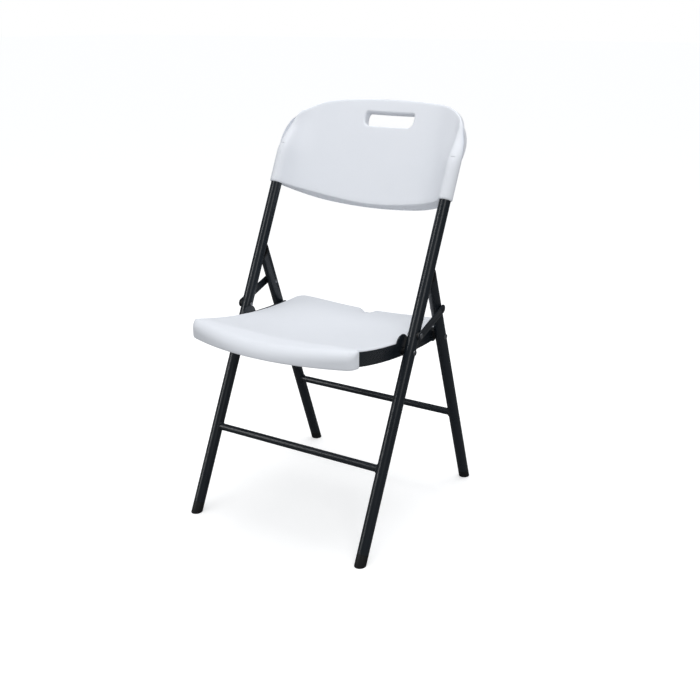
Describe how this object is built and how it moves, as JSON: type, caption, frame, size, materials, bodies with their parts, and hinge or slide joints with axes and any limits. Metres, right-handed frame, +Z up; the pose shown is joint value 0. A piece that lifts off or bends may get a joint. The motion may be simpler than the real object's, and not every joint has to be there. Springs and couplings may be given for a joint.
{
  "type": "folding chair",
  "caption": "Steel tube folding chair with a moulded white seat, a curved white backrest with a hand slot, and linked legs that fold flat.",
  "frame": {"origin": "centre of the open chair's box on the floor, under its four feet", "axes": "+Z up, the chair faces -Y, +X is the right side as seen by someone who faces the chair's front"},
  "size_m": [0.4798, 0.5678, 0.8914],
  "materials": {
    "powder_coat": "satin dark blue-black powder coat with a fine texture",
    "white_plastic": "cool white blow-moulded plastic with a fine matte grain",
    "black_plastic": "satin black moulded plastic",
    "plated_steel": "dull zinc plated steel",
    "black_rivet": "satin black painted rivet"
  },
  "bodies": {
    "front_frame": {"left_front_tube": "powder_coat", "right_front_tube": "powder_coat", "front_brace": "powder_coat", "front_brace_welds": "powder_coat", "left_front_foot": "black_plastic", "right_front_foot": "black_plastic", "backrest_panel": "white_plastic", "backrest_screws": "plated_steel", "seat_pivot_rivets": "plated_steel", "seat_pivot_spacers": "black_plastic", "link_pivot_rivets": "plated_steel", "link_pivot_washers": "black_plastic"},
    "seat": {"seat_pan": "white_plastic", "left_seat_rail": "powder_coat", "right_seat_rail": "powder_coat", "front_cross_tube": "powder_coat", "rear_cross_tube": "powder_coat", "cross_tube_welds": "powder_coat", "seat_screws": "plated_steel"},
    "rear_frame": {"left_rear_tube": "powder_coat", "right_rear_tube": "powder_coat", "rear_brace": "powder_coat", "rear_brace_welds": "powder_coat", "left_rear_foot": "black_plastic", "right_rear_foot": "black_plastic", "left_stop_cap": "black_plastic", "right_stop_cap": "black_plastic", "rail_pivot_rivets": "plated_steel", "rail_pivot_spacers": "black_plastic", "link_end_rivets": "plated_steel"},
    "left_link": {"left_link": "powder_coat", "left_link_stud": "black_rivet"},
    "right_link": {"right_link": "powder_coat", "right_link_stud": "black_rivet"}
  },
  "joints": [
    {"name": "seat_fold", "type": "hinge", "parent": "front_frame", "child": "seat", "pos_m": [0, -0.04295, 0.40898], "axis": [-1, 0, 0], "range_deg": [0, 103.05]},
    {"name": "rear_leg_fold", "type": "hinge", "parent": "seat", "child": "rear_frame", "pos_m": [0, 0.09926, 0.405], "axis": [-1, 0, 0], "range_deg": [-56.7, 0]},
    {"name": "left_link_swing", "type": "hinge", "parent": "front_frame", "child": "left_link", "pos_m": [0, -0.0267, 0.4429], "axis": [-1, 0, 0], "range_deg": [0, 119.43]},
    {"name": "right_link_swing", "type": "hinge", "parent": "front_frame", "child": "right_link", "pos_m": [0, -0.0267, 0.4429], "axis": [-1, 0, 0], "range_deg": [0, 119.43]}
  ],
  "couplings": [
    {"joint": "rear_leg_fold", "follows": "seat_fold", "ratio": -0.54976},
    {"joint": "left_link_swing", "follows": "seat_fold", "ratio": 1.1585},
    {"joint": "right_link_swing", "follows": "seat_fold", "ratio": 1.1585}
  ]
}
